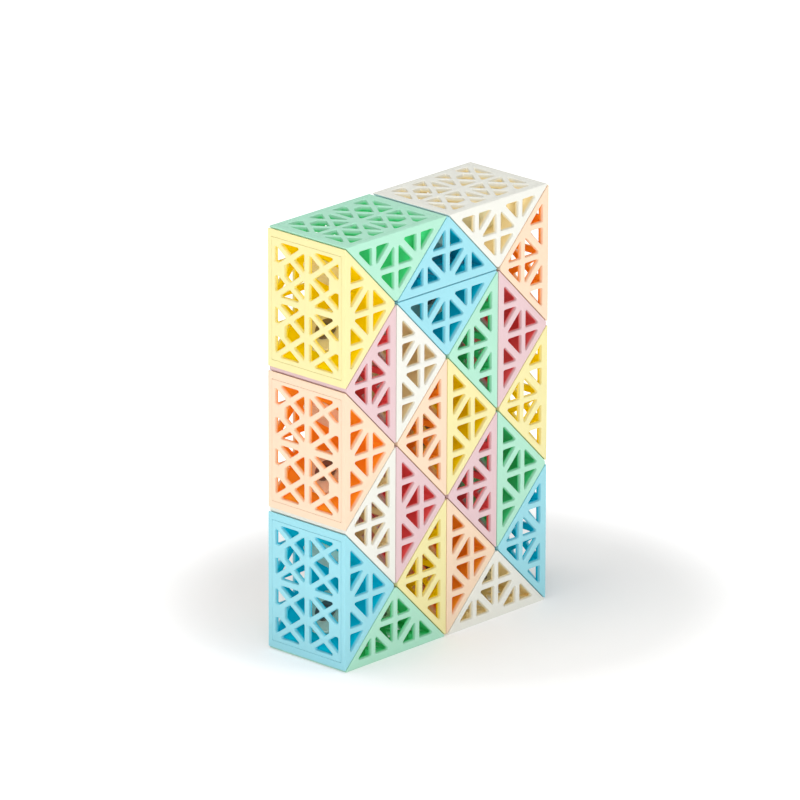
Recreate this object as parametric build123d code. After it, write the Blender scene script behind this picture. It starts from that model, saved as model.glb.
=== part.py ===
from build123d import *
import math
import os

# Folding snake puzzle: right-angled prism wedges in a chain, each turning on the next about the
# middle of a shared leg face, folded here into an upright flat block.
# Row frame: +Z up, origin under the middle of the block on the plane it stands on, +Y to the rear.
# Wedge frame: x from the middle of the long face towards the right-angled edge, y along the long
# face towards the next wedge's leg, z through the depth. All sizes in millimetres.

# ---- driving dimensions ----
LEG = 22.0                      # nominal leg of the right triangle, joint plane to joint plane
DEPTH = 22.2                    # front face to rear face
GAP = 0.2                       # clearance between any two wedges
SIDE_WALL = 1.1                 # front and rear lattice walls
LEG_WALL = 1.2                  # solid walls that carry the pivots
COVER_WALL = 1.1                # lattice cover over the long face
APEX_FLAT = 0.8                 # width of the flat on the right-angled edge
TIP_CUT = 0.25                  # length taken off each sharp edge, along the long face
COVER_HALF = 13.4               # half the cover's length along the long face
SEAM = 0.06                     # clearance all round the cover

# lattice of the front and rear walls
LONG_MARGIN = 1.85              # solid frame along the long side
LEG_MARGIN = 1.5                # solid frame along each leg
CROSS_AT = 6.7                  # bars square to the long side: distance from its middle
CROSS_BAR = 1.3
MIDDLE_BAR = 1.3                # bar from the long side to the right angle
PARALLEL_AT = 7.95              # bar parallel to the long side: distance from it
PARALLEL_BAR = 1.25
DIAGONAL_BAR = 1.55             # bars from the middle of the long side to the middles of the legs
DIAGONAL_OUT = 0.05             # how far a diagonal bar passes over the middle of the long side

# lattice of the long face
COVER_END_MARGIN = 3.0          # solid frame at the sharp edges
COVER_SIDE_MARGIN = 2.0         # solid frame along front and rear
COVER_SPINE = 1.35              # bar along the middle of the depth
COVER_CROSS = 1.4               # bar across the middle of the length
COVER_X_BAR = 1.2               # bars of the crosses
PAD_LONG = 2.95                 # solid pads over the snap tongues
PAD_DEEP = 2.75

# snap tongues of the cover
TONGUE_WIDTH = 1.2
TONGUE_THICK = 0.8
TONGUE_REACH = 2.7              # tip of the tongue, measured from the long face
BARB_AT = 1.7
BARB = 0.35
TONGUE_CLEAR = 0.15

# pivot hardware
BARREL_R = 1.6
HOLE_R = 1.66                   # running fit on the barrel
FLANGE_R = 5.2
FLANGE_THICK = 1.75
SPRING_R = 4.9
SPRING_BORE_R = 1.9
SPRING_THICK = 0.35
SPRING_CONE = 0.35              # height of the disc spring's cone
WASHER_R = 5.2
WASHER_THICK = 0.5
SCREW_HEAD_R = 2.45
SCREW_HEAD_THICK = 0.5
SCREW_R = 1.0
SOCKET_R = 1.25                 # hexagon socket, across corners
SOCKET_DEEP = 0.3
THREAD_CLEAR = 0.05
AXIAL_PLAY = 0.05

# the fold, joint by joint: S leaves two wedges as a parallelogram, T turns the next one half a
# turn, so that the two right angles meet
FOLD = "STSSSSTTSSSTTSSSTTSSSST"
FIRST_APEX = (2, 6)             # corners of the first wedge, in half-lengths of the long side
FIRST_PREVIOUS_TIP = (1, 5)
FIRST_NEXT_TIP = (3, 5)
BLOCK_STEPS_WIDE = 4

# ---- values worked out from them ----
HALF_LONG = LEG / math.sqrt(2)
ROOT2 = math.sqrt(2)
FACE = GAP / 2                                      # the long face, in the wedge frame
LEG_LINE = HALF_LONG - ROOT2 * GAP / 2              # x + |y| on the leg faces
LEG_INSIDE = LEG_LINE - ROOT2 * LEG_WALL            # x + |y| on the insides of the leg walls
LEG_WINDOW = HALF_LONG - ROOT2 * LEG_MARGIN         # x + |y| at the windows' leg sides
TIP_Y = LEG_LINE - FACE - TIP_CUT
APEX_X = LEG_LINE - APEX_FLAT / 2
INNER_DEPTH = DEPTH - 2 * SIDE_WALL
COVER_INSIDE = FACE + COVER_WALL
MOUTH_HALF = COVER_HALF + SEAM                      # half the recess that the cover drops into
FAR = 2 * LEG                                       # beyond every wall
WALL_TO_JOINT = GAP / 2 + LEG_WALL                  # inside of a leg wall, from the joint plane
SPRING_SEAT = WALL_TO_JOINT + AXIAL_PLAY
WASHER_SEAT = SPRING_SEAT + SPRING_CONE + SPRING_THICK
HEAD_SEAT = WASHER_SEAT + WASHER_THICK


def triangle_band(line, base):
    """The region from x = base up to x + |y| = line."""
    return Polygon((base, line - base), (base, base - line), (line, 0), align=None)


def strip(start, end, width):
    """A straight bar of a lattice, from start to end."""
    run = Vector(*end) - Vector(*start)
    middle = (Vector(*start) + Vector(*end)) / 2
    angle = math.degrees(math.atan2(run.Y, run.X))
    return Pos(middle.X, middle.Y) * Rot(0, 0, angle) * Rectangle(run.length, width)


def side_windows():
    """The eight openings of a front or rear wall, in the wedge frame's xy plane."""
    windows = triangle_band(LEG_WINDOW, LONG_MARGIN)
    windows -= strip((0, 0), (FAR, 0), MIDDLE_BAR)
    windows -= strip((PARALLEL_AT, -FAR), (PARALLEL_AT, FAR), PARALLEL_BAR)
    diagonal_shift = (DIAGONAL_BAR / 2 - DIAGONAL_OUT) * ROOT2
    for side in (-1, 1):
        windows -= strip((0, side * CROSS_AT), (HALF_LONG, side * CROSS_AT), CROSS_BAR)
        windows -= strip((diagonal_shift, 0), (diagonal_shift + LEG, side * LEG), DIAGONAL_BAR)
    return windows


def cell_windows(middle, half_long, half_deep, outer_side):
    """The seven openings of one quarter of the cover: two crosses in a row, and a solid pad on the
    outer side. Drawn with x along the long face and y through the depth."""
    windows = Pos(*middle) * Rectangle(2 * half_long, 2 * half_deep)
    for half in (-1, 0):
        low, high = middle[0] + half * half_long, middle[0] + (half + 1) * half_long
        for side in (-1, 1):
            start = (low, middle[1] - side * half_deep)
            end = (high, middle[1] + side * half_deep)
            windows -= strip(start, end, COVER_X_BAR)
    pad_y = middle[1] + outer_side * (half_deep - PAD_DEEP / 2)
    windows -= Pos(middle[0], pad_y) * Rectangle(PAD_LONG, PAD_DEEP)
    return windows


def cover_windows():
    """All twenty-eight openings of the cover, x along the long face and y through the depth."""
    half_long = (HALF_LONG - COVER_END_MARGIN - COVER_CROSS / 2) / 2
    half_deep = (DEPTH / 2 - COVER_SIDE_MARGIN - COVER_SPINE / 2) / 2
    cells = []
    for end in (-1, 1):
        for side in (-1, 1):
            middle = (end * (COVER_CROSS / 2 + half_long), side * (COVER_SPINE / 2 + half_deep))
            cells += cell_windows(middle, half_long, half_deep, side).faces()
    return cells


def tongue_at():
    """Distance of the snap tongues and pads from the middle of the long face."""
    return COVER_CROSS / 2 + (HALF_LONG - COVER_END_MARGIN - COVER_CROSS / 2) / 2


def joint_plane(side):
    """The joint on one leg, in the wedge frame: origin mid-leg and mid-depth, z pointing out."""
    return Plane(
        origin=(HALF_LONG / 2, side * HALF_LONG / 2, 0),
        x_dir=(0, 0, 1),
        z_dir=(1, side, 0),
    )


def wedge_shell(previous_pivot, next_pivot):
    """Two lattice side walls and two solid leg walls in one moulding, open at the long face, where a
    ledge on each leg wall carries the cover."""
    outline = Polygon(
        (FACE, TIP_Y),
        (FACE, -TIP_Y),
        (LEG_LINE - TIP_Y, -TIP_Y),
        (APEX_X, APEX_X - LEG_LINE),
        (APEX_X, LEG_LINE - APEX_X),
        (LEG_LINE - TIP_Y, TIP_Y),
        align=None,
    )
    shell = extrude(outline, DEPTH / 2, both=True)
    shell -= extrude(triangle_band(LEG_INSIDE, -LEG), INNER_DEPTH / 2, both=True)
    shell -= Pos(FACE, 0, 0) * Box(2 * COVER_WALL, 2 * MOUTH_HALF, INNER_DEPTH)
    shell -= extrude(side_windows(), DEPTH, both=True)
    for end in (-1, 1):
        for side in (-1, 1):
            # notch in the edge of an outermost window, which a snap tongue's barb catches in
            low = BARB_AT - TONGUE_CLEAR
            high = TONGUE_REACH + TONGUE_CLEAR
            notch = Box(high - low, TONGUE_WIDTH + 2 * TONGUE_CLEAR, 2 * BARB)
            shell -= Pos((low + high) / 2, end * tongue_at(), side * INNER_DEPTH / 2) * notch
    for side, wanted in ((-1, previous_pivot), (1, next_pivot)):
        if wanted:
            shell -= joint_plane(side).location * Cylinder(HOLE_R, 4 * LEG_WALL)
    return shell


def snap_tongue(end, side):
    """One tongue under a pad of the cover, with a barb that faces the side wall."""
    root = INNER_DEPTH / 2 - TONGUE_CLEAR
    foot = COVER_INSIDE - COVER_WALL / 2
    outline = Polyline(
        (foot, root - TONGUE_THICK),
        (foot, root),
        (BARB_AT, root),
        (BARB_AT, root + BARB),
        (TONGUE_REACH, root - TONGUE_CLEAR),
        (TONGUE_REACH, root - TONGUE_THICK),
        close=True,
    )
    plane = Plane(origin=(0, end * tongue_at(), 0), x_dir=(1, 0, 0), z_dir=(0, -side, 0))
    return extrude(plane * make_face(outline), TONGUE_WIDTH / 2, both=True)


def wedge_cover():
    """The lattice over the long face: a flush rectangular plate with four snap tongues."""
    plate = Box(COVER_WALL, 2 * COVER_HALF, INNER_DEPTH - 2 * SEAM)
    cover = Pos((FACE + COVER_INSIDE) / 2, 0, 0) * plate
    plane = Plane(origin=(0, 0, 0), x_dir=(0, 1, 0), z_dir=(1, 0, 0))
    for window in cover_windows():
        cover -= extrude(plane * window, LEG, both=True)
    for end in (-1, 1):
        for side in (-1, 1):
            cover += snap_tongue(end, side)
    return cover


def ring(inner_r, outer_r, low, high):
    """A plain ring about z, from z = low to z = high."""
    disc = Circle(outer_r) - Circle(inner_r) if inner_r else Circle(outer_r)
    return Pos(0, 0, low) * extrude(disc, high - low)


def pivot_pieces():
    """One joint's steel: flanged barrel, disc spring, washer and screw. z runs from the wedge
    that holds the flange to the wedge that holds the spring."""
    flange_top = -WALL_TO_JOINT - AXIAL_PLAY
    barrel = ring(0, FLANGE_R, flange_top - FLANGE_THICK, flange_top)
    barrel += ring(0, BARREL_R, flange_top - FLANGE_THICK, HEAD_SEAT)
    barrel -= ring(0, SCREW_R + THREAD_CLEAR, flange_top, HEAD_SEAT)
    cone = Polyline(
        (SPRING_R, SPRING_SEAT),
        (SPRING_R, SPRING_SEAT + SPRING_THICK),
        (SPRING_BORE_R, WASHER_SEAT),
        (SPRING_BORE_R, WASHER_SEAT - SPRING_THICK),
        close=True,
    )
    spring = revolve(Plane.XZ * make_face(cone), Axis.Z)
    washer = ring(HOLE_R, WASHER_R, WASHER_SEAT, HEAD_SEAT)
    screw = ring(0, SCREW_HEAD_R, HEAD_SEAT, HEAD_SEAT + SCREW_HEAD_THICK)
    screw += ring(0, SCREW_R, flange_top + THREAD_CLEAR, HEAD_SEAT)
    socket = extrude(RegularPolygon(SOCKET_R, 6), SOCKET_DEEP)
    screw -= Pos(0, 0, HEAD_SEAT + SCREW_HEAD_THICK - SOCKET_DEEP) * socket
    return [barrel, spring, washer, screw]


def block_point(step):
    """A corner of the fold in the row frame, front to rear middle."""
    return Vector((step[0] - BLOCK_STEPS_WIDE / 2) * HALF_LONG, 0, step[1] * HALF_LONG - GAP / 2)


def fold_chain():
    """Corners (right angle, previous tip, next tip) of every wedge, walking along the fold."""
    corners = [(FIRST_APEX, FIRST_PREVIOUS_TIP, FIRST_NEXT_TIP)]
    for turn in FOLD:
        apex, previous_tip, next_tip = corners[-1]
        away = (apex[0] - previous_tip[0], apex[1] - previous_tip[1])
        if turn == "S":
            apex, previous_tip = next_tip, apex
        else:
            previous_tip = next_tip
        corners.append((apex, previous_tip, (apex[0] + away[0], apex[1] + away[1])))
    return corners


def wedge_plane(apex, previous_tip, next_tip):
    """A wedge's own frame in the row frame."""
    low, high = block_point(previous_tip), block_point(next_tip)
    middle = (low + high) / 2
    towards_apex = (block_point(apex) - middle).normalized()
    return Plane(
        origin=middle,
        x_dir=towards_apex,
        z_dir=towards_apex.cross((high - low).normalized()),
    )


def write(shape, name):
    export_step(shape, os.path.join("parts", name + ".step"))


os.makedirs("parts", exist_ok=True)
planes = [wedge_plane(*corners) for corners in fold_chain()]
count = len(planes)
middle_shell = wedge_shell(True, True)
cover = wedge_cover()
hardware = pivot_pieces()

for number, plane in enumerate(planes, start=1):
    shell = middle_shell
    if number in (1, count):
        shell = wedge_shell(number > 1, number < count)
    write(plane.location * shell, f"wedge_{number:02d}_shell")
    write(plane.location * cover, f"wedge_{number:02d}_cover")
    if number % 2 == 0:
        # an even wedge carries the steel of both its joints
        joints = [number - 1] if number == count else [number - 1, number]
        steel = []
        for joint in joints:
            place = planes[joint - 1].location * joint_plane(1).location
            steel += [place * piece for piece in hardware]
        write(Compound(children=steel), f"wedge_{number:02d}_pivots")
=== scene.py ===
import math

import bmesh
import bpy
from mathutils import Matrix, Vector
from mathutils.geometry import tessellate_polygon


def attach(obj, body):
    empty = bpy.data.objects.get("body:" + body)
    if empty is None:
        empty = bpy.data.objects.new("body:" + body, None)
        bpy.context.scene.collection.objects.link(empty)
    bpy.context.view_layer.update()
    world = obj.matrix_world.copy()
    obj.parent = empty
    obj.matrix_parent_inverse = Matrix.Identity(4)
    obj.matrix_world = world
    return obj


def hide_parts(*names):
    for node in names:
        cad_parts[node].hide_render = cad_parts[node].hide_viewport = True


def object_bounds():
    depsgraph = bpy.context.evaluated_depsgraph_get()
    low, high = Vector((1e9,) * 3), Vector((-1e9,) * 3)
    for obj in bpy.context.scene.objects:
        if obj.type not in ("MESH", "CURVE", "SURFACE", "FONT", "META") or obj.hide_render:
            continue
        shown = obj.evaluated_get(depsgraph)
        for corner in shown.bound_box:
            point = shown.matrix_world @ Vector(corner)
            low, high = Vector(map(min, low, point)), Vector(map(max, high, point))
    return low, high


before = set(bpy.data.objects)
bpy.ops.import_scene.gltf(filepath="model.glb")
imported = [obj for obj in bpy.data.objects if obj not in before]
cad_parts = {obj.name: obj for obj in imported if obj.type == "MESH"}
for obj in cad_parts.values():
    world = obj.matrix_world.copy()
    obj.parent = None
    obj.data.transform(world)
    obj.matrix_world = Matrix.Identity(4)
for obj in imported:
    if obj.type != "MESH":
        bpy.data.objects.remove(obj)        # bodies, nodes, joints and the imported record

# Looks of a folding snake puzzle: twenty-four lattice wedges folded into an upright block.
# Everything is drawn in millimetres and scaled to metres when a mesh is finished.
# Wedge frame: x from the middle of the long face towards the right-angled edge, y along the long
# face towards the next wedge's leg, z through the depth.

CAD_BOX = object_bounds()
MM = 0.001
ROOT2 = math.sqrt(2)

# ---- driving dimensions, as the CAD has them ----
LEG = 22.0                      # nominal leg of the right triangle, joint plane to joint plane
DEPTH = 22.2                    # front face to rear face
GAP = 0.2                       # clearance between any two wedges
SIDE_WALL = 1.1                 # front and rear lattice walls
LEG_WALL = 1.2                  # solid walls that carry the pivots
COVER_WALL = 1.1                # lattice cover over the long face
APEX_FLAT = 0.8                 # width of the flat on the right-angled edge
COVER_HALF = 13.4               # half the cover's length along the long face
SEAM = 0.06                     # clearance all round the cover

# lattice of the front and rear walls
LONG_MARGIN = 1.85              # solid frame along the long side
LEG_MARGIN = 1.5                # solid frame along each leg
CROSS_AT = 6.7                  # bars square to the long side: distance from its middle
CROSS_BAR = 1.3
MIDDLE_BAR = 1.3                # bar from the long side to the right angle
PARALLEL_AT = 7.95              # bar parallel to the long side: distance from it
PARALLEL_BAR = 1.25
DIAGONAL_BAR = 1.55             # bars from the middle of the long side to the middles of the legs
DIAGONAL_OUT = 0.05             # how far a diagonal bar passes over the middle of the long side

# lattice of the long face
COVER_END_MARGIN = 3.0          # solid frame at the sharp edges
COVER_SIDE_MARGIN = 2.0         # solid frame along front and rear
COVER_SPINE = 1.35              # bar along the middle of the depth
COVER_CROSS = 1.4               # bar across the middle of the length
COVER_X_BAR = 1.2               # bars of the crosses
PAD_LONG = 2.95                 # solid pads over the snap tongues
PAD_DEEP = 2.75

# snap tongues of the cover
TONGUE_WIDTH = 1.2
TONGUE_THICK = 0.8
TONGUE_REACH = 2.7              # tip of the tongue, measured from the long face
TONGUE_CLEAR = 0.15
BARB_AT = 1.7

# pivot hardware
BARREL_R = 1.6
HOLE_R = 1.66                   # running fit on the barrel
FLANGE_R = 5.2
FLANGE_THICK = 1.75
SPRING_R = 4.9
SPRING_BORE_R = 1.9
SPRING_THICK = 0.35
SPRING_CONE = 0.35              # height of the disc spring's cone
WASHER_R = 5.2
WASHER_THICK = 0.5
SCREW_HEAD_R = 2.45
SCREW_HEAD_THICK = 0.5
SCREW_R = 1.0
SOCKET_R = 1.25                 # hexagon socket, across corners
SOCKET_DEEP = 0.3
THREAD_CLEAR = 0.05
AXIAL_PLAY = 0.05

# the fold, joint by joint: S leaves two wedges as a parallelogram, T turns the next one half a
# turn, so that the two right angles meet
FOLD = "STSSSSTTSSSTTSSSTTSSSST"
FIRST_APEX = (2, 6)             # corners of the first wedge, in half-lengths of the long side
FIRST_PREVIOUS_TIP = (1, 5)
FIRST_NEXT_TIP = (3, 5)
BLOCK_STEPS_WIDE = 4

# ---- values worked out from them ----
HALF_LONG = LEG / ROOT2
FACE = GAP / 2                                      # the long face, in the wedge frame
LEG_LINE = HALF_LONG - ROOT2 * GAP / 2              # x + |y| on the leg faces
LEG_INSIDE = LEG_LINE - ROOT2 * LEG_WALL            # x + |y| on the insides of the leg walls
LEG_WINDOW = HALF_LONG - ROOT2 * LEG_MARGIN         # x + |y| at the windows' leg sides
TIP_Y = LEG_LINE - FACE                             # a sharp edge, before it is rounded
APEX_X = LEG_LINE - APEX_FLAT / 2
OUTER_Z = DEPTH / 2
INNER_Z = OUTER_Z - SIDE_WALL
COVER_INSIDE = FACE + COVER_WALL
MOUTH_HALF = COVER_HALF + SEAM                      # half the recess that the cover drops into
TONGUE_Y = COVER_CROSS / 2 + (HALF_LONG - COVER_END_MARGIN - COVER_CROSS / 2) / 2
WALL_TO_JOINT = GAP / 2 + LEG_WALL                  # inside of a leg wall, from the joint plane
FLANGE_TOP = -WALL_TO_JOINT - AXIAL_PLAY
SPRING_SEAT = WALL_TO_JOINT + AXIAL_PLAY
WASHER_SEAT = SPRING_SEAT + SPRING_CONE + SPRING_THICK
HEAD_SEAT = WASHER_SEAT + WASHER_THICK

# ---- roundings and small shapes, which only the looks have ----
EDGE_R = 0.16                   # along the outer edges of a shell
EDGE_STEPS = 2
TIP_R = 0.18                    # in plan, on the sharp edges
APEX_R = 0.35                   # in plan, beside the flat on the right-angled edge
INNER_APEX_R = 1.0              # in plan, where the leg walls meet inside
CORNER_STEPS = 4
RIM_R = 0.24                    # along the outer edges of the windows
RIM_STEPS = 2
INNER_RIM = 0.1                 # chamfer along the inner edges of the windows
WINDOW_R = 0.28                 # corners of the windows
COVER_RIM = 0.03                # along the outer edges of the cover
COVER_CORNER_R = 0.25           # corners of the cover
MOUTH_RIM = 0.03                # chamfer round the recess that the cover drops into
BARB = 0.1                      # shallower than the CAD's, as the side walls here have no notch
HOLE_RIM = 0.15                 # chamfer of a pivot hole, on the outside
HOLE_POINTS = 32
LATHE_POINTS = 48
HEXAGON = 6                     # sides of a screw's socket
STEEL_RIM = 0.12                # broken edges of the steel
SCRAP = 1.0                     # cuttings of a side wall smaller than this, in mm2, aren't windows
PROBE = 0.1                     # from the middle of a cross to a point inside an opening
WELD = 1e-4                     # points closer than this are one
SMOOTH_BELOW = 40               # degrees; sharper edges stay sharp in the shading


# ---------------------------------------------------------------------------------------------
# flat shapes
# ---------------------------------------------------------------------------------------------
def full_turn(count):
    """Evenly spaced angles round a circle."""
    return [2 * math.pi * k / count for k in range(count)]


def rectangle(left, right, half_height):
    """The corners of a rectangle that lies evenly about the x axis, anticlockwise."""
    return [Vector(p) for p in (
        (left, -half_height), (right, -half_height), (right, half_height), (left, half_height))]


def clip(polygon, point, normal):
    """The part of a convex polygon on the side of a line that normal points to."""
    heights = [(p - point).dot(normal) for p in polygon]
    kept = []
    for i, (here, height) in enumerate(zip(polygon, heights)):
        before, height_before = polygon[i - 1], heights[i - 1]
        if height * height_before < 0:
            kept.append(before.lerp(here, height_before / (height_before - height)))
        if height >= 0:
            kept.append(here)
    return kept


def beside_bar(polygon, start, end, width, seed):
    """The part of a polygon beside a straight bar, on the same side as the point seed."""
    run = (end - start).normalized()
    normal = Vector((-run.y, run.x))
    if (seed - start).dot(normal) < 0:
        normal.negate()
    return clip(polygon, start + normal * width / 2, normal)


def area(polygon):
    """Positive where the points run anticlockwise."""
    return sum(polygon[i - 1].cross(p) for i, p in enumerate(polygon)) / 2


def rounded(corners, radii, grow):
    """Points round a convex polygon with rounded corners, grown outward by grow."""
    points = []
    for i, corner in enumerate(corners):
        run_in = (corner - corners[i - 1]).normalized()
        run_out = (corners[(i + 1) % len(corners)] - corner).normalized()
        out_in, out_out = Vector((run_in.y, -run_in.x)), Vector((run_out.y, -run_out.x))
        centre = corner - (out_in + out_out) * radii[i] / (1 + out_in.dot(out_out))
        turn = math.atan2(out_in.cross(out_out), out_in.dot(out_out))
        for k in range(CORNER_STEPS + 1):
            spoke = out_in.copy()
            spoke.rotate(Matrix.Rotation(turn * k / CORNER_STEPS, 2))
            points.append(centre + spoke * (radii[i] + grow))
    return points


def side_windows():
    """The eight openings of a front or rear wall."""
    corner = MIDDLE_BAR / 2
    region = [
        Vector((LONG_MARGIN, corner)),
        Vector((LEG_WINDOW - corner, corner)),
        Vector((LONG_MARGIN, LEG_WINDOW - LONG_MARGIN)),
    ]
    shift = (DIAGONAL_BAR / 2 - DIAGONAL_OUT) * ROOT2
    bars = [
        (Vector((PARALLEL_AT, 0)), Vector((PARALLEL_AT, LEG)), PARALLEL_BAR),
        (Vector((0, CROSS_AT)), Vector((LEG, CROSS_AT)), CROSS_BAR),
        (Vector((shift, 0)), Vector((shift + LEG, LEG)), DIAGONAL_BAR),
    ]
    windows = [region]
    for start, end, width in bars:
        run = (end - start).normalized()
        beside = Vector((-run.y, run.x))
        windows = [
            part
            for window in windows
            for seed in (start + beside, start - beside)
            if area(part := beside_bar(window, start, end, width, seed)) > SCRAP
        ]
    mirrored = [[Vector((p.x, -p.y)) for p in reversed(window)] for window in windows]
    return windows + mirrored


def cover_windows():
    """The twenty-eight openings of the cover: in each quarter two crosses in a row and a solid pad
    on the outer side. Drawn with x along the long face and y through the depth."""
    cross_long = (HALF_LONG - COVER_END_MARGIN - COVER_CROSS / 2) / 2
    cross_deep = (OUTER_Z - COVER_SIDE_MARGIN - COVER_SPINE / 2) / 2
    base = Vector((COVER_CROSS / 2 + cross_long, COVER_SPINE / 2 + cross_deep))
    quarter = []

    def bars(half):
        for deep in (-cross_deep, cross_deep):
            yield Vector((0, deep)), Vector((half * cross_long, -deep))

    for half in (-1, 1):
        middle = Vector((half * cross_long / 2, 0))
        near, far = min(0, half) * cross_long, max(0, half) * cross_long
        for towards in (Vector((half, 0)), Vector((0, 1)), Vector((0, -1))):
            window = rectangle(near, far, cross_deep)
            for start, end in bars(half):
                window = beside_bar(window, start, end, COVER_X_BAR, middle + towards * PROBE)
            if towards.y > 0:
                window = clip(window, Vector((half * PAD_LONG / 2, 0)), Vector((half, 0)))
            quarter.append(window)
    window = rectangle(-cross_long / 2, cross_long / 2, cross_deep)
    for half in (-1, 1):
        for start, end in bars(half):
            window = beside_bar(window, start, end, COVER_X_BAR, Vector((0, 0)))
    quarter.append(clip(window, Vector((0, cross_deep - PAD_DEEP)), Vector((0, -1))))

    windows = []
    for long_side in (-1, 1):
        for deep_side in (-1, 1):
            for window in quarter:
                placed = [
                    Vector((long_side * (base.x + p.x), deep_side * (base.y + p.y))) for p in window
                ]
                windows.append(placed if area(placed) > 0 else placed[::-1])
    return windows


def quarter_round(radius, steps):
    """(inset, drop) pairs of a rounded edge, from the side wall up to the face."""
    angles = [math.pi / 2 * k / steps for k in range(steps + 1)]
    return [(radius * (1 - math.cos(a)), radius * (1 - math.sin(a))) for a in angles]


# ---------------------------------------------------------------------------------------------
# closed skins
# ---------------------------------------------------------------------------------------------
OUTSIDE, INSIDE = 0, 1        # material slots of a wedge's mouldings


class Skin:
    """Collects bands between rings of points and flat caps with holes, then welds them."""

    def __init__(self):
        self.faces = bmesh.new()
        self.material = OUTSIDE

    def ring(self, points):
        return [self.faces.verts.new(p) for p in points]

    def face(self, corners):
        self.faces.faces.new(corners).material_index = self.material

    def band(self, *rings, skip=(), closed=True):
        """Four-sided faces between each ring and the next."""
        for low, high in zip(rings, rings[1:]):
            for i in range(len(low) if closed else len(low) - 1):
                if i not in skip:
                    j = (i + 1) % len(low)
                    self.face((low[i], low[j], high[j], high[i]))

    def cap(self, outer, *holes):
        """A flat face with holes, in triangles."""
        loops = [outer, *holes]
        every = [v for loop in loops for v in loop]
        for triangle in tessellate_polygon([[v.co for v in loop] for loop in loops]):
            self.face([every[i] for i in triangle])

    def mesh(self, name):
        """The finished mesh, in metres."""
        bmesh.ops.remove_doubles(self.faces, verts=self.faces.verts[:], dist=WELD)
        bmesh.ops.recalc_face_normals(self.faces, faces=self.faces.faces[:])
        bmesh.ops.scale(self.faces, vec=(MM, MM, MM), verts=self.faces.verts[:])
        made = bpy.data.meshes.new(name)
        self.faces.to_mesh(made)
        self.faces.free()
        made.shade_smooth()
        made.set_sharp_from_angle(angle=math.radians(SMOOTH_BELOW))
        return made


def window_band(skin, window, place, outer, inner):
    """The rounded wall of one window, from the outer face's depth to the inner face's. place turns
    a flat point and a depth into a point of the wedge. Returns the rings at both faces."""
    towards = 1 if inner > outer else -1
    levels = [(inset, outer + towards * drop) for inset, drop in quarter_round(RIM_R, RIM_STEPS)]
    levels = levels[::-1] + [(0.0, inner - towards * INNER_RIM), (INNER_RIM, inner)]
    radii = [WINDOW_R] * len(window)
    rings = [
        skin.ring([place(p, depth) for p in rounded(window, radii, grow)]) for grow, depth in levels
    ]
    skin.material = OUTSIDE
    skin.band(*rings[:RIM_STEPS + 1])
    skin.material = INSIDE
    skin.band(*rings[RIM_STEPS:])
    skin.material = OUTSIDE
    return rings[0], rings[-1]


def pivot_circle(side, radius, depth):
    """A circle round a leg's pivot axis, at a depth below the outside of the leg wall."""
    outward = Vector((1, side, 0)) / ROOT2
    along = Vector((1, -side, 0)) / ROOT2
    centre = outward * (LEG_LINE / ROOT2 - depth)
    through = Vector((0, 0, 1))
    return [
        centre + radius * (math.cos(a) * along + math.sin(a) * through)
        for a in full_turn(HOLE_POINTS)
    ]


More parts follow.
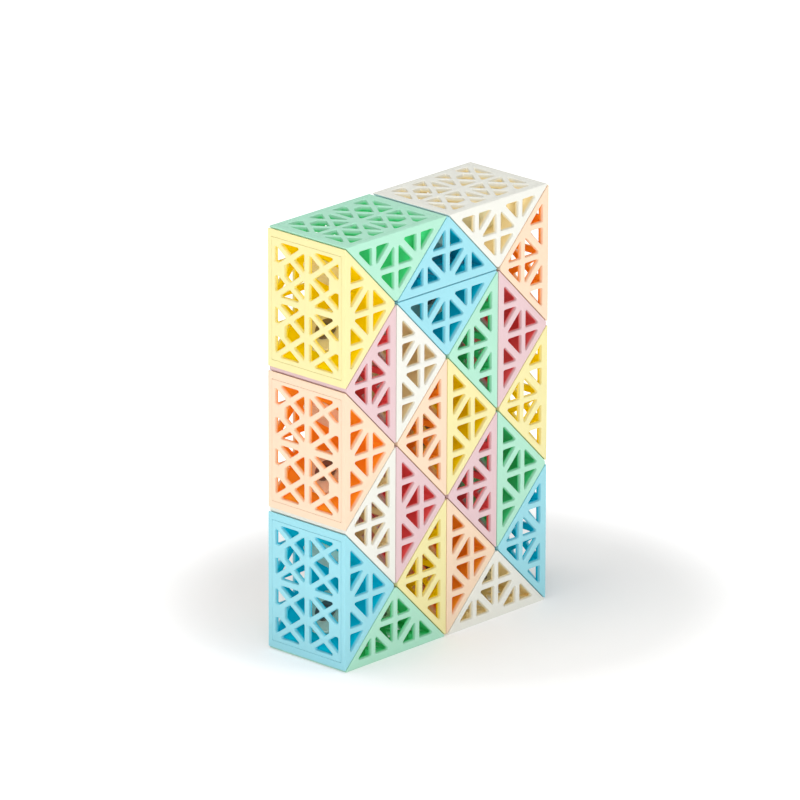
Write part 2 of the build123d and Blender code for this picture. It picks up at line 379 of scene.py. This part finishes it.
def shell_mesh(name, previous_pivot, next_pivot):
    """Two lattice side walls and two leg walls in one skin, open at the long face."""
    skin = Skin()
    outline = [Vector(p) for p in (
        (FACE, -TIP_Y), (APEX_X, APEX_X - LEG_LINE), (APEX_X, LEG_LINE - APEX_X), (FACE, TIP_Y))]
    radii = [TIP_R, APEX_R, APEX_R, TIP_R]
    inner_corner = LEG_INSIDE - COVER_INSIDE
    inner = [Vector((FACE + MOUTH_RIM, -MOUTH_HALF)), Vector((COVER_INSIDE, -MOUTH_HALF))]
    inner.append(Vector((COVER_INSIDE, -inner_corner)))
    for k in range(CORNER_STEPS * 2 + 1):
        a = math.pi / 4 * (k / CORNER_STEPS - 1)
        centre = Vector((LEG_INSIDE - ROOT2 * INNER_APEX_R, 0))
        inner.append(centre + INNER_APEX_R * Vector((math.cos(a), math.sin(a))))
    inner += [Vector((p.x, -p.y)) for p in reversed(inner[:3])]

    edges, inner_rings = {}, {}
    for side in (-1, 1):
        rings = [
            skin.ring([
                (p.x, p.y, side * (OUTER_Z - drop)) for p in rounded(outline, radii, -inset)])
            for inset, drop in quarter_round(EDGE_R, EDGE_STEPS)
        ]
        skin.band(*rings)
        inner_rings[side] = skin.ring([(p.x, p.y, side * INNER_Z) for p in inner])
        holes = [
            window_band(skin, window, lambda p, z: (p.x, p.y, z), side * OUTER_Z, side * INNER_Z)
            for window in side_windows()
        ]
        skin.cap(rings[-1], *[hole[0] for hole in holes])
        skin.material = INSIDE
        skin.cap(inner_rings[side], *[hole[1] for hole in holes])
        skin.material = OUTSIDE
        edges[side] = rings[0]

    # Between the side walls: the rounded edges and the flat right-angled edge as bands, then both
    # leg walls with their pivot holes, then the frame of the long face round the cover's recess.
    # In a ring of the outline each corner is corner_points points. The leg faces and the long face
    # start at the last points of the first, third and fourth corners.
    corner_points = CORNER_STEPS + 1
    straight = {-1: corner_points - 1, 1: 3 * corner_points - 1}
    mouth_at = 4 * corner_points - 1
    skin.band(edges[-1], edges[1], skip=(*straight.values(), mouth_at))
    # inside, the leg walls start at the third point and at the fourth from the end
    leg_starts = {-1: 2, 1: len(inner) - 4}
    skin.material = INSIDE
    skin.band(inner_rings[-1], inner_rings[1], skip=tuple(leg_starts.values()), closed=False)
    for side, pivot in ((-1, previous_pivot), (1, next_pivot)):
        i, j = straight[side], leg_starts[side]
        low, high = edges[-1], edges[1]
        outside = [low[i], low[i + 1], high[i + 1], high[i]]
        low, high = inner_rings[-1], inner_rings[1]
        inside = [low[j], low[j + 1], high[j + 1], high[j]]
        if pivot:
            levels = [(HOLE_R + HOLE_RIM, 0), (HOLE_R, HOLE_RIM), (HOLE_R, LEG_WALL)]
            hole = [skin.ring(pivot_circle(side, radius, depth)) for radius, depth in levels]
            skin.band(*hole)
            skin.cap(inside, hole[-1])
            skin.material = OUTSIDE
            skin.cap(outside, hole[0])
        else:
            skin.face(inside)
            skin.material = OUTSIDE
            skin.face(outside)
        skin.material = INSIDE
    skin.material = OUTSIDE
    mouth = [
        skin.ring([(x, y * (MOUTH_HALF + rim), z * (INNER_Z + rim))
                   for y, z in ((-1, -1), (1, -1), (1, 1), (-1, 1))])
        for x, rim in ((FACE, MOUTH_RIM), (FACE + MOUTH_RIM, 0))
    ]
    skin.band(*mouth)
    skin.cap([edges[-1][mouth_at], edges[-1][0], edges[1][0], edges[1][mouth_at]], mouth[0])
    return skin.mesh(name)


def tongue_rings(skin, end, side):
    """A snap tongue under the cover, from its root ring to its closed tip."""
    root = INNER_Z - TONGUE_CLEAR
    levels = [
        (COVER_INSIDE, root),
        (BARB_AT, root),
        (BARB_AT + BARB, root + BARB),
        (TONGUE_REACH, root - TONGUE_CLEAR),
    ]
    half = TONGUE_WIDTH / 2
    rings = []
    for x, top in levels:
        low = root - TONGUE_THICK
        corners = ((-half, low), (half, low), (half, top), (-half, top))
        rings.append(skin.ring([(x, end * TONGUE_Y + y, side * z) for y, z in corners]))
    skin.band(*rings)
    skin.face(rings[-1])
    return rings[0]


def cover_mesh(name):
    """The lattice plate over the long face, with its four snap tongues."""
    skin = Skin()
    plate = rectangle(-COVER_HALF, COVER_HALF, INNER_Z - SEAM)
    radii = [COVER_CORNER_R] * len(plate)
    levels = [(inset, FACE + drop) for inset, drop in quarter_round(COVER_RIM, RIM_STEPS)]
    levels = levels[::-1] + [(0.0, COVER_INSIDE)]
    edge = [
        skin.ring([(x, p.x, p.y) for p in rounded(plate, radii, -inset)]) for inset, x in levels
    ]
    skin.band(*edge)
    holes = [
        window_band(skin, window, lambda p, x: (x, p.x, p.y), FACE, COVER_INSIDE)
        for window in cover_windows()
    ]
    skin.cap(edge[0], *[hole[0] for hole in holes])
    skin.material = INSIDE
    tongues = [tongue_rings(skin, end, side) for end in (-1, 1) for side in (-1, 1)]
    skin.cap(edge[-1], *[hole[1] for hole in holes], *tongues)
    return skin.mesh(name)


def turned_ring(skin, radius, z, count):
    """A ring of points about the z axis."""
    return skin.ring([(radius * math.cos(a), radius * math.sin(a), z) for a in full_turn(count)])


def lathe(name, profile, socket=None):
    """A turned piece. The profile runs from one end to the other as (radius, z); a ring's profile
    closes on itself. A socket of (radius, depth) sinks a hexagon into the last end."""
    skin = Skin()
    rings = [turned_ring(skin, radius, z, LATHE_POINTS) for radius, z in profile]
    skin.band(*rings)
    if profile[0] == profile[-1]:
        return skin.mesh(name)
    skin.cap(rings[0])
    if socket is None:
        skin.cap(rings[-1])
    else:
        radius, depth = socket
        top = profile[-1][1]
        hexagons = [turned_ring(skin, radius, z, HEXAGON) for z in (top, top - depth)]
        skin.band(*hexagons)
        skin.cap(rings[-1], hexagons[0])
        skin.cap(hexagons[1])
    return skin.mesh(name)


def rounded_ring(inner_r, outer_r, low, high):
    """The closed profile of a flat ring with broken edges."""
    rim = STEEL_RIM
    return [
        (inner_r, low + rim), (inner_r + rim, low), (outer_r - rim, low), (outer_r, low + rim),
        (outer_r, high - rim), (outer_r - rim, high), (inner_r + rim, high), (inner_r, high - rim),
        (inner_r, low + rim),
    ]


def pivot_meshes():
    """Barrel, disc spring, washer and screw of one joint. z runs from the wedge that holds the
    flange to the wedge that holds the spring."""
    flange_low = FLANGE_TOP - FLANGE_THICK
    bore = SCREW_R + THREAD_CLEAR
    barrel = [
        (FLANGE_R - 2 * STEEL_RIM, flange_low),
        (FLANGE_R - STEEL_RIM / 2, flange_low + STEEL_RIM / 2),
        (FLANGE_R, flange_low + 2 * STEEL_RIM),
        (FLANGE_R, FLANGE_TOP - STEEL_RIM),
        (FLANGE_R - STEEL_RIM, FLANGE_TOP),
        (BARREL_R, FLANGE_TOP),
        (BARREL_R, HEAD_SEAT - STEEL_RIM),
        (BARREL_R - STEEL_RIM, HEAD_SEAT),
        (bore, HEAD_SEAT),
        (bore, FLANGE_TOP),
    ]
    spring = [
        (SPRING_R, SPRING_SEAT), (SPRING_R, SPRING_SEAT + SPRING_THICK),
        (SPRING_BORE_R, WASHER_SEAT), (SPRING_BORE_R, WASHER_SEAT - SPRING_THICK),
        (SPRING_R, SPRING_SEAT),
    ]
    head_top = HEAD_SEAT + SCREW_HEAD_THICK
    screw = [
        (SCREW_R, FLANGE_TOP + THREAD_CLEAR), (SCREW_R, HEAD_SEAT),
        (SCREW_HEAD_R - STEEL_RIM / 2, HEAD_SEAT), (SCREW_HEAD_R, HEAD_SEAT + STEEL_RIM / 2),
        (SCREW_HEAD_R, head_top - 2 * STEEL_RIM),
        (SCREW_HEAD_R - STEEL_RIM / 2, head_top - STEEL_RIM / 2),
        (SCREW_HEAD_R - 2 * STEEL_RIM, head_top),
    ]
    return {
        "barrel": lathe("barrel", barrel),
        "spring": lathe("spring", spring),
        "washer": lathe("washer", rounded_ring(HOLE_R, WASHER_R, WASHER_SEAT, HEAD_SEAT)),
        "screw": lathe("screw", screw, socket=(SOCKET_R, SOCKET_DEEP)),
    }


# ---------------------------------------------------------------------------------------------
# materials
# ---------------------------------------------------------------------------------------------
# outer colour, and the deeper colour painted inside a wedge of the same plastic: painted shade and
# painted light that has bounced about inside the lattice
PLASTICS = {
    "green": ((0.42, 0.77, 0.59), (0.09, 0.77, 0.30)),
    "blue": ((0.32, 0.70, 0.79), (0.001, 0.65, 0.81)),
    "yellow": ((0.87, 0.79, 0.38), (0.99, 0.82, 0.001)),
    "peach": ((0.90, 0.68, 0.49), (0.99, 0.42, 0.03)),
    "pink": ((0.75, 0.54, 0.56), (0.96, 0.15, 0.15)),
    "white": ((0.82, 0.82, 0.75), (0.93, 0.81, 0.48)),
}
WEDGE_COLOURS = ("blue", "white", "peach", "pink", "yellow", "green")
OUTER_SHINE = 0.4
INNER_SHINE = 0.0
PAINTED_SHADE_FROM = 0.3               # depth below the outer surface where the painted shade begins
PAINTED_SHADE_TO = 1.1                 # and where it is complete
MID_NOISE = (0.3, 0.7)          # the middle range of a noise, which a remap spreads out
WIDE_NOISE = (0.25, 0.75)
CLOUD_NOISE = (90, 3)           # scale per metre and detail
CLOUD_MIX = (0.0, 0.06)         # how much of the shade the clouds mix in
CLOUD_SHADE = 0.82
SATIN_NOISE = (420, 4)
SATIN_ROUGHNESS = (0.30, 0.42)
GRAIN_NOISE = (1500, 2)
GRAIN_HEIGHT = 0.00002
GRAIN_STRENGTH = 0.25

BRIGHT_STEEL = dict(colour=(0.93, 0.95, 0.74), metallic=0.4, roughness=(0.5, 0.7))
DARK_STEEL = dict(colour=(0.24, 0.21, 0.19), metallic=0.8, roughness=(0.35, 0.5))
STEEL_NOISE = (600, 4)
STEEL_SHADE = 0.8
TURNING_SCALE = 900             # of the fine rings that turning leaves
TURNING_WAVER = 1.5
TURNING_HEIGHT = 0.00001
TURNING_STRENGTH = 0.3


class Nodes:
    """A short way to write a node tree."""

    def __init__(self, material):
        material.use_nodes = True
        self.tree = material.node_tree
        self.shader = self.tree.nodes["Principled BSDF"]

    def add(self, kind, **settings):
        node = self.tree.nodes.new("ShaderNode" + kind)
        for key, value in settings.items():
            setattr(node, key, value)
        return node

    def link(self, source, target):
        self.tree.links.new(source, target)

    def math(self, operation, *values):
        node = self.add("Math", operation=operation)
        for socket, value in zip(node.inputs, values):
            if isinstance(value, (int, float)):
                socket.default_value = value
            else:
                self.link(value, socket)
        return node.outputs[0]

    def noise(self, coordinates, scale, detail):
        node = self.add("TexNoise")
        node.inputs["Scale"].default_value = scale
        node.inputs["Detail"].default_value = detail
        self.link(coordinates, node.inputs["Vector"])
        return node.outputs["Fac"]

    def remap(self, value, source, target):
        """value, carried from the source range over to the target range along an S-curve."""
        node = self.add("MapRange", interpolation_type="SMOOTHSTEP")
        names = ("From Min", "From Max", "To Min", "To Max")
        for name, setting in zip(names, (*source, *target)):
            node.inputs[name].default_value = setting
        self.link(value, node.inputs["Value"])
        return node.outputs["Result"]

    def mix(self, factor, first, second):
        node = self.add("Mix", data_type="RGBA")
        colours = [s for s in node.inputs if s.type == "RGBA"]
        for socket, value in zip(colours, (first, second)):
            if isinstance(value, tuple):
                socket.default_value = (*value, 1)
            else:
                self.link(value, socket)
        self.link(factor, node.inputs["Factor"])
        return next(s for s in node.outputs if s.type == "RGBA")

    def bump(self, height, distance, strength):
        node = self.add("Bump")
        node.inputs["Distance"].default_value = distance
        node.inputs["Strength"].default_value = strength
        self.link(height, node.inputs["Height"])
        self.link(node.outputs["Normal"], self.shader.inputs["Normal"])


def plastic(name, outer, inner, shine):
    """Satin moulded plastic. Its colour is painted deeper with the depth below a wedge's outer
    faces:
    painted shade, and painted light that has bounced about inside the lattice and picked up more
    of the pigment."""
    material = bpy.data.materials.new(name)
    nodes = Nodes(material)
    place = nodes.add("TexCoord").outputs["Object"]
    parts = nodes.add("SeparateXYZ")
    nodes.link(place, parts.inputs[0])
    x, y, z = parts.outputs
    under_side = nodes.math("SUBTRACT", OUTER_Z * MM, nodes.math("ABSOLUTE", z))
    under_face = nodes.math("SUBTRACT", x, FACE * MM)
    leg = nodes.math("SUBTRACT", LEG_LINE * MM, nodes.math("ADD", x, nodes.math("ABSOLUTE", y)))
    under_leg = nodes.math("MULTIPLY", leg, 1 / ROOT2)
    depth = nodes.math("MINIMUM", nodes.math("MINIMUM", under_side, under_face), under_leg)
    # painted shade: how much of the deeper inside colour is mixed in; that colour stands in for
    # shade and bounced light
    inside = nodes.remap(depth, (PAINTED_SHADE_FROM * MM, PAINTED_SHADE_TO * MM), (0, 1))
    tone = nodes.remap(nodes.noise(place, *CLOUD_NOISE), MID_NOISE, CLOUD_MIX)
    shade = tuple(c * CLOUD_SHADE for c in outer)
    skin_colour = nodes.mix(tone, outer, shade)
    nodes.link(nodes.mix(inside, skin_colour, inner), nodes.shader.inputs["Base Color"])
    roughness = nodes.remap(nodes.noise(place, *SATIN_NOISE), WIDE_NOISE, SATIN_ROUGHNESS)
    nodes.link(roughness, nodes.shader.inputs["Roughness"])
    nodes.shader.inputs["Specular IOR Level"].default_value = shine
    nodes.bump(nodes.noise(place, *GRAIN_NOISE), GRAIN_HEIGHT, GRAIN_STRENGTH)
    return material


def steel(name, colour, metallic, roughness):
    """Turned steel, with fine rings about the pivot's axis. roughness is a range."""
    material = bpy.data.materials.new(name)
    nodes = Nodes(material)
    place = nodes.add("TexCoord").outputs["Object"]
    rings = nodes.add("TexWave", wave_type="RINGS", rings_direction="Z")
    rings.inputs["Scale"].default_value = TURNING_SCALE
    rings.inputs["Distortion"].default_value = TURNING_WAVER
    nodes.link(place, rings.inputs["Vector"])
    cloud = nodes.noise(place, *STEEL_NOISE)
    shade = tuple(c * STEEL_SHADE for c in colour)
    nodes.link(nodes.mix(cloud, colour, shade), nodes.shader.inputs["Base Color"])
    nodes.link(nodes.remap(cloud, MID_NOISE, roughness), nodes.shader.inputs["Roughness"])
    nodes.shader.inputs["Metallic"].default_value = metallic
    nodes.bump(rings.outputs["Fac"], TURNING_HEIGHT, TURNING_STRENGTH)
    return material


# ---------------------------------------------------------------------------------------------
# the fold
# ---------------------------------------------------------------------------------------------
def block_point(step):
    """A corner of the fold in the row frame, half-way through the depth."""
    return Vector(((step[0] - BLOCK_STEPS_WIDE / 2) * HALF_LONG, 0, step[1] * HALF_LONG - GAP / 2))


def fold_chain():
    """Corners (right angle, previous tip, next tip) of every wedge, walking along the fold."""
    corners = [(FIRST_APEX, FIRST_PREVIOUS_TIP, FIRST_NEXT_TIP)]
    for turn in FOLD:
        apex, previous_tip, next_tip = corners[-1]
        away = (apex[0] - previous_tip[0], apex[1] - previous_tip[1])
        if turn == "S":
            apex, previous_tip = next_tip, apex
        else:
            previous_tip = next_tip
        corners.append((apex, previous_tip, (apex[0] + away[0], apex[1] + away[1])))
    return corners


def axes_matrix(origin, x_axis, y_axis, z_axis):
    """A placing matrix in metres from an origin in millimetres and three unit axes."""
    matrix = Matrix((x_axis, y_axis, z_axis)).transposed().to_4x4()
    matrix.translation = origin * MM
    return matrix


def wedge_matrix(apex, previous_tip, next_tip):
    """From the wedge frame to the row frame."""
    low, high = block_point(previous_tip), block_point(next_tip)
    middle = (low + high) / 2
    towards_apex = (block_point(apex) - middle).normalized()
    along = (high - low).normalized()
    return axes_matrix(middle, towards_apex, along, towards_apex.cross(along))


def next_joint_matrix():
    """The joint on a wedge's next leg, in the wedge frame, with z pointing out."""
    middle = Vector((HALF_LONG / 2, HALF_LONG / 2, 0))
    outward = Vector((1, 1, 0)) / ROOT2
    through = Vector((0, 0, 1))
    return axes_matrix(middle, through, outward.cross(through), outward)


def add_piece(name, mesh, materials, matrix, body, node):
    """One piece of the looks, which rides on a body and stands in for a node of the CAD."""
    own_mesh = mesh.copy()
    own_mesh.name = name
    for material in materials:
        own_mesh.materials.append(material)
    piece = bpy.data.objects.new(name, own_mesh)
    bpy.context.scene.collection.objects.link(piece)
    piece.matrix_world = matrix
    normals = piece.modifiers.new("even_normals", "WEIGHTED_NORMAL")
    normals.keep_sharp = True
    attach(piece, body)
    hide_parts(node)


def add_wedges():
    """Every wedge's shell and cover, and the steel of the joints that an even wedge carries."""
    matrices = [wedge_matrix(*corners) for corners in fold_chain()]
    count = len(matrices)
    shells = {
        (True, True): shell_mesh("shell", True, True),
        (False, True): shell_mesh("first_shell", False, True),
        (True, False): shell_mesh("last_shell", True, False),
    }
    cover = cover_mesh("cover")
    steel_meshes = pivot_meshes()
    plastics = {
        colour: (
            plastic(f"{colour}_outside", outer, inner, OUTER_SHINE),
            plastic(f"{colour}_inside", outer, inner, INNER_SHINE),
        )
        for colour, (outer, inner) in PLASTICS.items()
    }
    bright = (steel("bright_steel", **BRIGHT_STEEL),)
    dark = (steel("dark_steel", **DARK_STEEL),)
    to_joint = next_joint_matrix()
    for number, matrix in enumerate(matrices, start=1):
        body = f"wedge_{number:02d}"
        colour = WEDGE_COLOURS[(number - 1) % len(WEDGE_COLOURS)]
        shell = shells[number > 1, number < count]
        for part, mesh in (("shell", shell), ("cover", cover)):
            node = f"{body}_{part}"
            name = f"{node}_moulding"
            add_piece(name, mesh, plastics[colour], matrix, body, node)
        if number % 2 == 0:
            joints = [number - 1] if number == count else [number - 1, number]
            for joint in joints:
                place = matrices[joint - 1] @ to_joint
                for part, mesh in steel_meshes.items():
                    name = f"twist_{joint:02d}_{joint + 1:02d}_{part}"
                    metal = dark if part == "screw" else bright
                    add_piece(name, mesh, metal, place, body, f"{body}_pivots")


# ---------------------------------------------------------------------------------------------
# studio
# ---------------------------------------------------------------------------------------------
SKY = 0.36
SOFT_BOXES = {                  # angles in degrees
    "top_soft_box": dict(azimuth=-110, elevation=75, distance=600, size=260, brightness=0.42),
    "right_soft_box": dict(azimuth=30, elevation=50, distance=600, size=260, brightness=0.2),
    "front_soft_box": dict(azimuth=-47, elevation=20, distance=550, size=300, brightness=0.325),
}
MAX_BOUNCES = 24                # light bounces about many times inside the lattice
DIFFUSE_BOUNCES = 16

FLOOR_SIZE = 12                 # in metres
FLOOR_GREY = (0.74, 0.74, 0.74)
FLOOR_PALE = (0.76, 0.76, 0.76)
FLOOR_NOISE = (40, 2)
FLOOR_ROUGHNESS = 0.6
FLOOR_SHINE = 0.2
FLOOR_GLOW = (0.205, 0.76)      # beside the block, and away from it, where it burns out to white
GLOW_REACH = (0.045, 0.088)     # between these distances from the centre, in metres
GLOW_CENTRE = (0.017, 0.002, 0)

CAMERA_AZIMUTH = -46.72         # angles in degrees
CAMERA_ELEVATION = 18.96
CAMERA_ROLL = 0.17
CAMERA_DISTANCE = 1862.9
CAMERA_LENS = 398.9
CAMERA_REACH = 100              # how far it sees, in metres
CAMERA_SIDEWAYS = -1.84         # how far it stands off a line through the middle of the block
CAMERA_UP = 3.22


def direction(azimuth, elevation):
    """From the block towards a camera or a light, at angles in degrees. Azimuth 0 is in front, at
    -Y, and a growing azimuth moves round to the right."""
    azimuth, elevation = math.radians(azimuth), math.radians(elevation)
    level = math.cos(elevation)
    return Vector((math.sin(azimuth) * level, -math.cos(azimuth) * level, math.sin(elevation)))


def add_camera(middle):
    """A long lens from the left front, a little above."""
    back = direction(CAMERA_AZIMUTH, CAMERA_ELEVATION)
    right = Vector((0, 0, 1)).cross(back).normalized()
    up = back.cross(right)
    data = bpy.data.cameras.new("camera")
    data.lens = CAMERA_LENS
    data.clip_end = CAMERA_REACH
    camera = bpy.data.objects.new("camera", data)
    bpy.context.scene.collection.objects.link(camera)
    place = middle + back * CAMERA_DISTANCE + right * CAMERA_SIDEWAYS + up * CAMERA_UP
    roll = Matrix.Rotation(math.radians(CAMERA_ROLL), 4, "Z")
    camera.matrix_world = axes_matrix(place, right, up, back) @ roll
    bpy.context.scene.camera = camera


def add_light(name, target, azimuth, elevation, distance, size, brightness):
    """A square soft box that lights a white card facing it, at target, to the given brightness."""
    towards = direction(azimuth, elevation)
    data = bpy.data.lights.new(name, "AREA")
    data.size = size * MM
    data.energy = brightness * (math.pi * distance * MM) ** 2
    light = bpy.data.objects.new(name, data)
    bpy.context.scene.collection.objects.link(light)
    light.location = (target + towards * distance) * MM
    light.rotation_euler = towards.to_track_quat("Z", "Y").to_euler()


def add_floor():
    """A wide white sweep that runs out of sight."""
    bpy.ops.mesh.primitive_plane_add(size=FLOOR_SIZE)
    floor = bpy.context.object
    floor.name = "floor"
    material = bpy.data.materials.new("white_sweep")
    nodes = Nodes(material)
    place = nodes.add("TexCoord").outputs["Object"]
    colour = nodes.mix(nodes.noise(place, *FLOOR_NOISE), FLOOR_GREY, FLOOR_PALE)
    nodes.link(colour, nodes.shader.inputs["Base Color"])
    nodes.shader.inputs["Roughness"].default_value = FLOOR_ROUGHNESS
    nodes.shader.inputs["Specular IOR Level"].default_value = FLOOR_SHINE
    nodes.shader.inputs["Emission Color"].default_value = (1, 1, 1, 1)
    distance = nodes.add("VectorMath", operation="DISTANCE")
    nodes.link(place, distance.inputs[0])
    distance.inputs[1].default_value = GLOW_CENTRE
    glow = nodes.remap(distance.outputs["Value"], GLOW_REACH, FLOOR_GLOW)
    nodes.link(glow, nodes.shader.inputs["Emission Strength"])
    floor.data.materials.append(material)


def add_studio():
    """White surroundings, the camera, the soft boxes and the floor."""
    scene = bpy.context.scene
    world = bpy.data.worlds.new("studio")
    scene.world = world
    world.use_nodes = True
    background = world.node_tree.nodes["Background"]
    background.inputs["Color"].default_value = (1, 1, 1, 1)
    background.inputs["Strength"].default_value = SKY
    scene.view_settings.view_transform = "Standard"
    scene.cycles.max_bounces = MAX_BOUNCES
    scene.cycles.diffuse_bounces = DIFFUSE_BOUNCES
    middle = (CAD_BOX[0] + CAD_BOX[1]) / 2 / MM
    add_camera(middle)
    for name, settings in SOFT_BOXES.items():
        add_light(name, middle, **settings)
    add_floor()


add_studio()
add_wedges()
